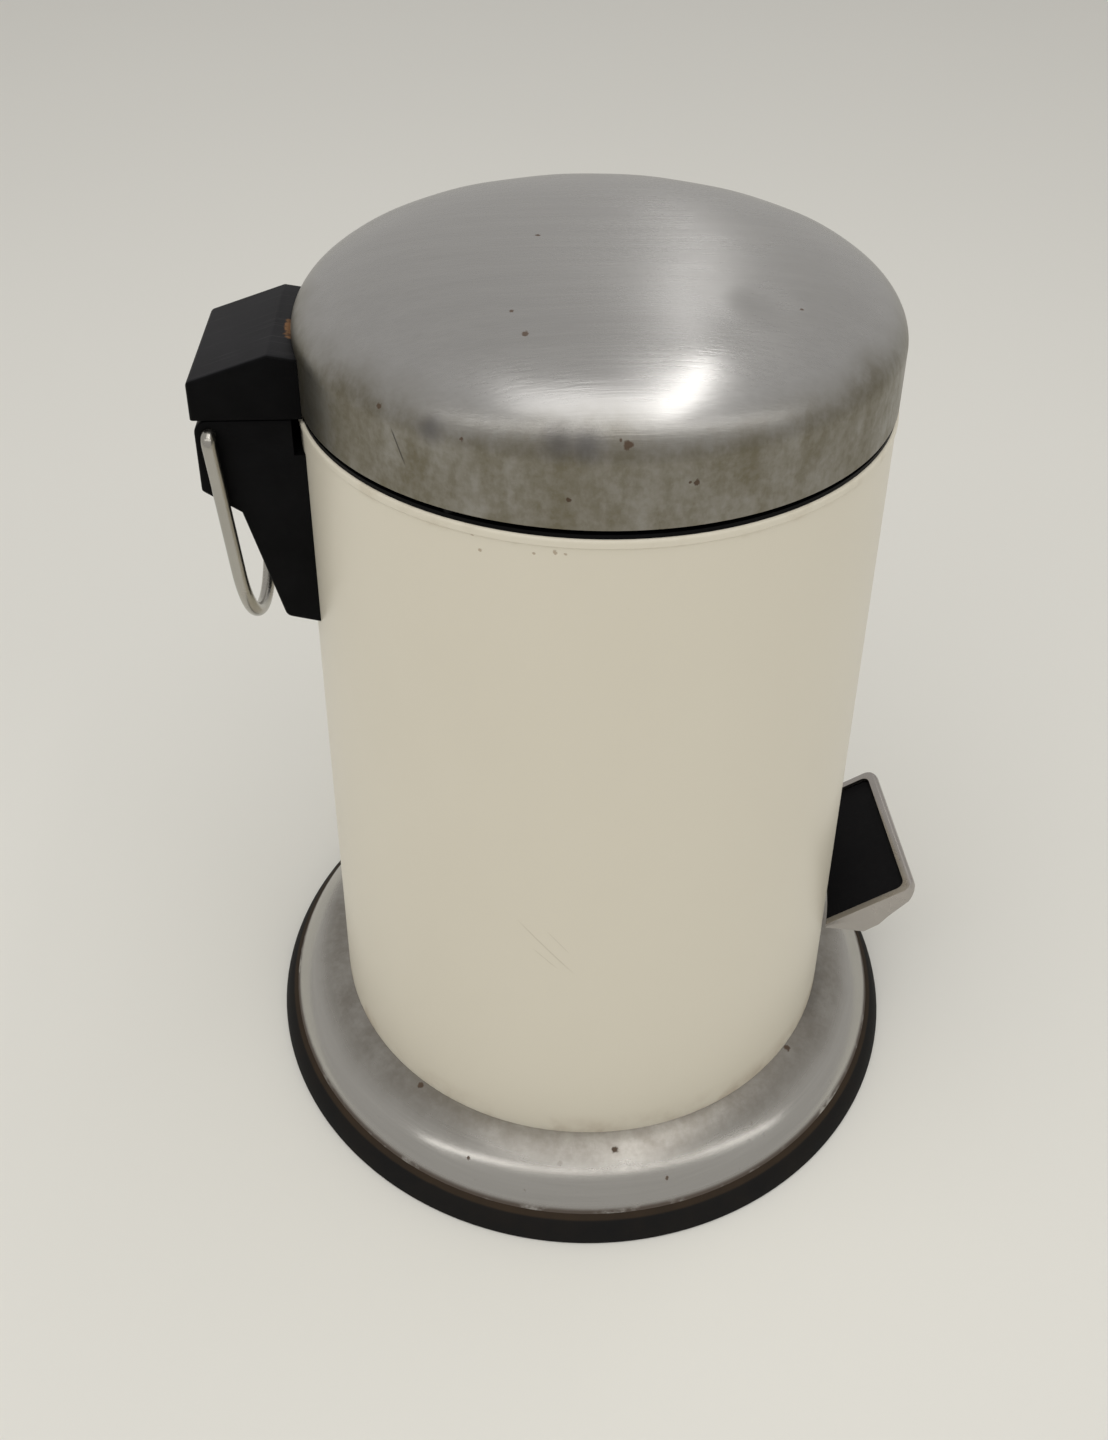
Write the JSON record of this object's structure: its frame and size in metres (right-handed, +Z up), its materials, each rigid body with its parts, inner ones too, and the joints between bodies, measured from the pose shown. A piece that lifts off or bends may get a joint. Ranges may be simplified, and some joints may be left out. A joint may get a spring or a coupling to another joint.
{
  "type": "pedal trash can",
  "caption": "Cylindrical pedal trash can with a domed steel lid, cream body, flared steel foot, rear hinge block and wire carry handle.",
  "frame": {"origin": "on the floor at the axis of the round body", "axes": "+Z up, pedal towards -Y, hinge and carry handle towards +Y"},
  "size_m": [0.2182, 0.2228, 0.2901],
  "materials": {
    "cream_paint": "satin",
    "brushed_lid": "brushed, worn",
    "satin_stainless": "satin",
    "zinc_steel": "zinc plated",
    "bright_wire": "polished",
    "black_plastic": "moulded, fine grain",
    "bucket_plastic": "moulded",
    "foot_rubber": "matt, scuffed",
    "soft_rubber": "matt"
  },
  "bodies": {
    "can": {"body_shell": "cream_paint", "base_skirt": "satin_stainless", "foot_ring": "foot_rubber", "base_pan": "black_plastic", "base_screws": "zinc_steel", "pivot_bracket": "zinc_steel", "pivot_rivets": "zinc_steel", "pedal_pin": "zinc_steel", "rod_guide": "black_plastic", "top_collar": "black_plastic", "lid_bumpers": "soft_rubber", "hinge_bracket": "black_plastic", "bracket_screws": "zinc_steel", "hinge_pin": "zinc_steel"},
    "lid": {"lid_dome": "brushed_lid", "lid_arm": "zinc_steel", "lid_rivets": "zinc_steel", "hinge_cap": "black_plastic", "cap_screws": "zinc_steel"},
    "pedal": {"pedal_tray": "satin_stainless", "pedal_pad": "soft_rubber", "pedal_arm": "zinc_steel", "pedal_rivets": "zinc_steel"},
    "rod": {"push_rod": "zinc_steel", "rod_tip": "black_plastic", "rod_foot": "black_plastic"},
    "handle": {"carry_handle": "bright_wire"},
    "bucket": {"inner_bucket": "bucket_plastic"},
    "bail": {"bucket_handle": "bright_wire"}
  },
  "joints": [
    {"name": "lid_hinge", "type": "hinge", "parent": "can", "child": "lid", "pos_m": [0, 0.107, 0.243], "axis": [-1, 0, 0], "range_deg": [0, 70]},
    {"name": "pedal_pivot", "type": "hinge", "parent": "can", "child": "pedal", "pos_m": [0, 0, 0.03], "axis": [1, 0, 0], "range_deg": [0, 10]},
    {"name": "rod_slide", "type": "slide", "parent": "can", "child": "rod", "axis": [0, 0, 1], "range_m": [0, 0.01377]},
    {"name": "handle_swing", "type": "hinge", "parent": "can", "child": "handle", "pos_m": [0, 0.107, 0.243], "axis": [1, 0, 0], "range_deg": [-6, 140]},
    {"name": "bucket_lift", "type": "slide", "parent": "can", "child": "bucket", "axis": [0, 0, 1], "range_m": [0, 0.006]},
    {"name": "bucket_handle_tilt", "type": "hinge", "parent": "bucket", "child": "bail", "pos_m": [0, 0, 0.2515], "axis": [-1, 0, 0], "range_deg": [0, 14]}
  ],
  "couplings": [
    {"joint": "pedal_pivot", "follows": "lid_hinge", "ratio": 0.14286},
    {"joint": "rod_slide", "follows": "lid_hinge", "m_per_rad": 0.01127}
  ]
}
